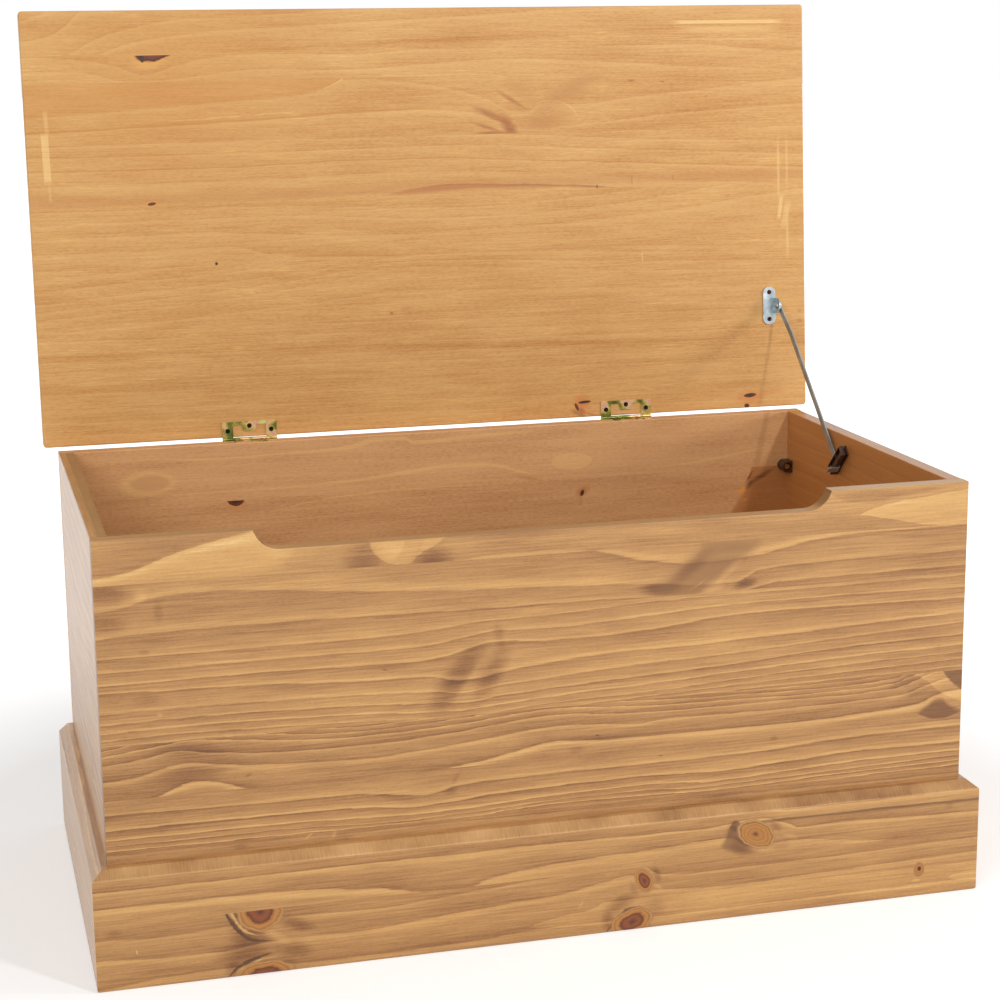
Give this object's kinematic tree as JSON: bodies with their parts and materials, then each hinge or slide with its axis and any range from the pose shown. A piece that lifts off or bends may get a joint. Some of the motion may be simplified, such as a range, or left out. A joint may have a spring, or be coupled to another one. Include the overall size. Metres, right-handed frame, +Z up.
{
  "type": "storage trunk",
  "caption": "Pine storage trunk with a moulded plinth, a finger scoop in its front edge and a hinged lid held open by a sliding bar stay.",
  "frame": {"origin": "on the floor, under the middle of the box round the trunk with its lid open", "axes": "+X to the trunk's right as seen from the front, +Y to its back, +Z up"},
  "size_m": [0.933, 0.5405, 0.9348],
  "materials": {
    "panel_pine": "satin honey-coloured wax",
    "plinth_pine": "satin honey-coloured wax",
    "lid_pine": "satin honey-coloured wax",
    "batten_pine": "raw",
    "base_plywood": "raw",
    "dowel_wood": "raw",
    "frame_screw_steel": "zinc plated",
    "connector_plastic": "moulded, fine grained",
    "connector_screw_steel": "yellow zinc plated",
    "hinge_steel": "yellow zinc plated, iridescent",
    "hinge_screw_steel": "blackened",
    "bracket_steel": "bright zinc plated",
    "bracket_screw_steel": "bronzed",
    "washer_plastic": "moulded",
    "bar_steel": "zinc plated",
    "guide_plastic": "moulded, fine grained"
  },
  "bodies": {
    "carcass": {"front_panel": "panel_pine", "back_panel": "panel_pine", "left_side_panel": "panel_pine", "right_side_panel": "panel_pine", "plinth_front": "plinth_pine", "plinth_left": "plinth_pine", "plinth_right": "plinth_pine", "batten_front": "batten_pine", "batten_back": "batten_pine", "batten_left": "batten_pine", "batten_right": "batten_pine", "base_panel": "base_plywood", "corner_dowels": "dowel_wood", "plinth_screws": "frame_screw_steel", "batten_screws": "frame_screw_steel", "connector_front_left_upper": "connector_plastic", "connector_front_left_lower": "connector_plastic", "connector_back_left_upper": "connector_plastic", "connector_back_left_lower": "connector_plastic", "connector_front_right_upper": "connector_plastic", "connector_front_right_lower": "connector_plastic", "connector_back_right_upper": "connector_plastic", "connector_back_right_lower": "connector_plastic", "connector_screws": "connector_screw_steel", "hinge_left_rim_leaf": "hinge_steel", "hinge_right_rim_leaf": "hinge_steel", "hinge_rim_screws": "hinge_screw_steel", "stay_guide_screw": "connector_screw_steel"},
    "lid": {"lid_panel": "lid_pine", "hinge_left_lid_leaf": "hinge_steel", "hinge_right_lid_leaf": "hinge_steel", "hinge_left_pin": "hinge_steel", "hinge_right_pin": "hinge_steel", "hinge_lid_screws": "hinge_screw_steel", "stay_bracket": "bracket_steel", "stay_bracket_screws": "bracket_screw_steel", "stay_rivet": "bracket_steel", "stay_washer": "washer_plastic"},
    "bar": {"stay_bar": "bar_steel"},
    "guide": {"stay_guide": "guide_plastic"}
  },
  "joints": [
    {"name": "lid_hinge", "type": "hinge", "parent": "carcass", "child": "lid", "pos_m": [0, 0.21679, 0.4467], "axis": [1, 0, 0], "range_deg": [0, 94.2]},
    {"name": "bar_pivot", "type": "hinge", "parent": "lid", "child": "bar", "pos_m": [0.42655, 0.21684, 0.57434], "axis": [1, 0, 0], "range_deg": [-109.63, 0]},
    {"name": "guide_pivot", "type": "hinge", "parent": "carcass", "child": "guide", "pos_m": [0.433, 0.0434, 0.4044], "axis": [1, 0, 0], "range_deg": [-15.43, 0]}
  ],
  "couplings": [
    {"joint": "bar_pivot", "follows": "lid_hinge", "ratio": -1.1639},
    {"joint": "guide_pivot", "follows": "lid_hinge", "ratio": -0.16385}
  ]
}
